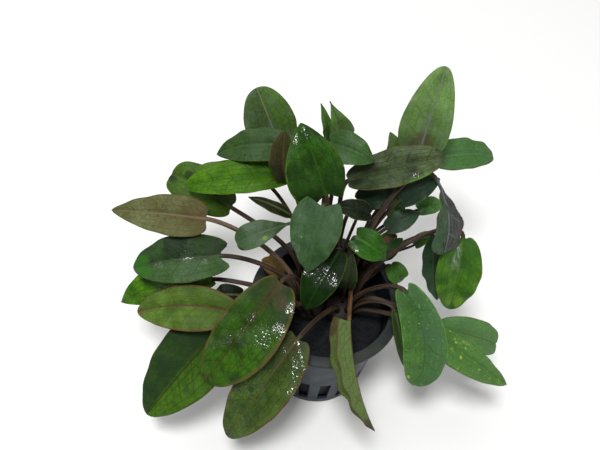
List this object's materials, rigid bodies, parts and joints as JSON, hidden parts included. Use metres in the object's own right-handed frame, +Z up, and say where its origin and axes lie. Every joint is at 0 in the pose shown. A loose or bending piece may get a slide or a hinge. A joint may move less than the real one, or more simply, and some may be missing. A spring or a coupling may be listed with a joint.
{
  "type": "potted cryptocoryne plant",
  "caption": "Low, broad-leaved aquarium plant whose arching stalked leaves spread from crowns in a dark slotted net pot that stands on its flat base.",
  "frame": {"origin": "middle of the net pot's flat base, on the surface it stands on", "axes": "+Z up along the pot's axis, -Y towards the picture's camera, +X to its right"},
  "size_m": [0.1523, 0.1107, 0.1222],
  "materials": {
    "net_pot": "moulded, dull, with a film of algae on the lip",
    "growing_medium": "wet mineral wool",
    "crown": "brown stem tissue",
    "leaf_dark": "very dark green leaf, wet sheen",
    "leaf_green": "mid green leaf with paler veins, satin",
    "leaf_bright": "yellow-green leaf with a darker net of veins, satin",
    "leaf_grey": "green leaf under a grey sheen",
    "leaf_olive": "olive-brown underside with a reddish midrib, dull",
    "leaf_yellow": "ochre-yellow old leaf, dull"
  },
  "bodies": {
    "root": {"net_pot": "net_pot", "growing_medium": "growing_medium", "crown_back_left": "crown", "crown_front_left": "crown", "crown_front_right": "crown", "crown_back_right": "crown", "leaf_back_1": "leaf_dark", "leaf_back_2": "leaf_dark", "leaf_back_3": "leaf_olive", "leaf_centre_tall": "leaf_green", "leaf_centre_front": "leaf_grey", "leaf_left_small": "leaf_grey", "leaf_left_long": "leaf_bright", "leaf_left_under": "leaf_olive", "leaf_left_back": "leaf_green", "leaf_left_far": "leaf_green", "leaf_left_sliver": "leaf_dark", "leaf_left_dark": "leaf_dark", "leaf_left_low": "leaf_bright", "leaf_left_young": "leaf_dark", "leaf_left_front": "leaf_bright", "leaf_front_far_left": "leaf_green", "leaf_front_wide": "leaf_green", "leaf_front_wet": "leaf_green", "leaf_front_folded": "leaf_olive", "leaf_centre_dark": "leaf_dark", "leaf_centre_shaded": "leaf_dark", "leaf_right_1": "leaf_green", "leaf_right_2": "leaf_green", "leaf_right_3": "leaf_grey", "leaf_right_behind": "leaf_green", "leaf_right_hanging": "leaf_dark", "leaf_right_bright": "leaf_bright", "leaf_right_grey": "leaf_grey", "leaf_back_tallest": "leaf_green", "leaf_back_right": "leaf_green", "leaf_back_long": "leaf_grey", "leaf_back_glossy": "leaf_green", "leaf_back_point_1": "leaf_green", "leaf_back_point_2": "leaf_green", "leaf_back_tip": "leaf_green", "leaf_inner_1": "leaf_dark", "leaf_inner_2": "leaf_dark", "leaf_inner_3": "leaf_green", "leaf_inner_4": "leaf_grey", "leaf_inner_5": "leaf_green", "leaf_inner_6": "leaf_olive", "leaf_inner_7": "leaf_green", "leaf_inner_8": "leaf_green", "leaf_inner_bright": "leaf_bright", "leaf_inner_notched": "leaf_green", "leaf_yellow": "leaf_yellow"}
  },
  "joints": []
}
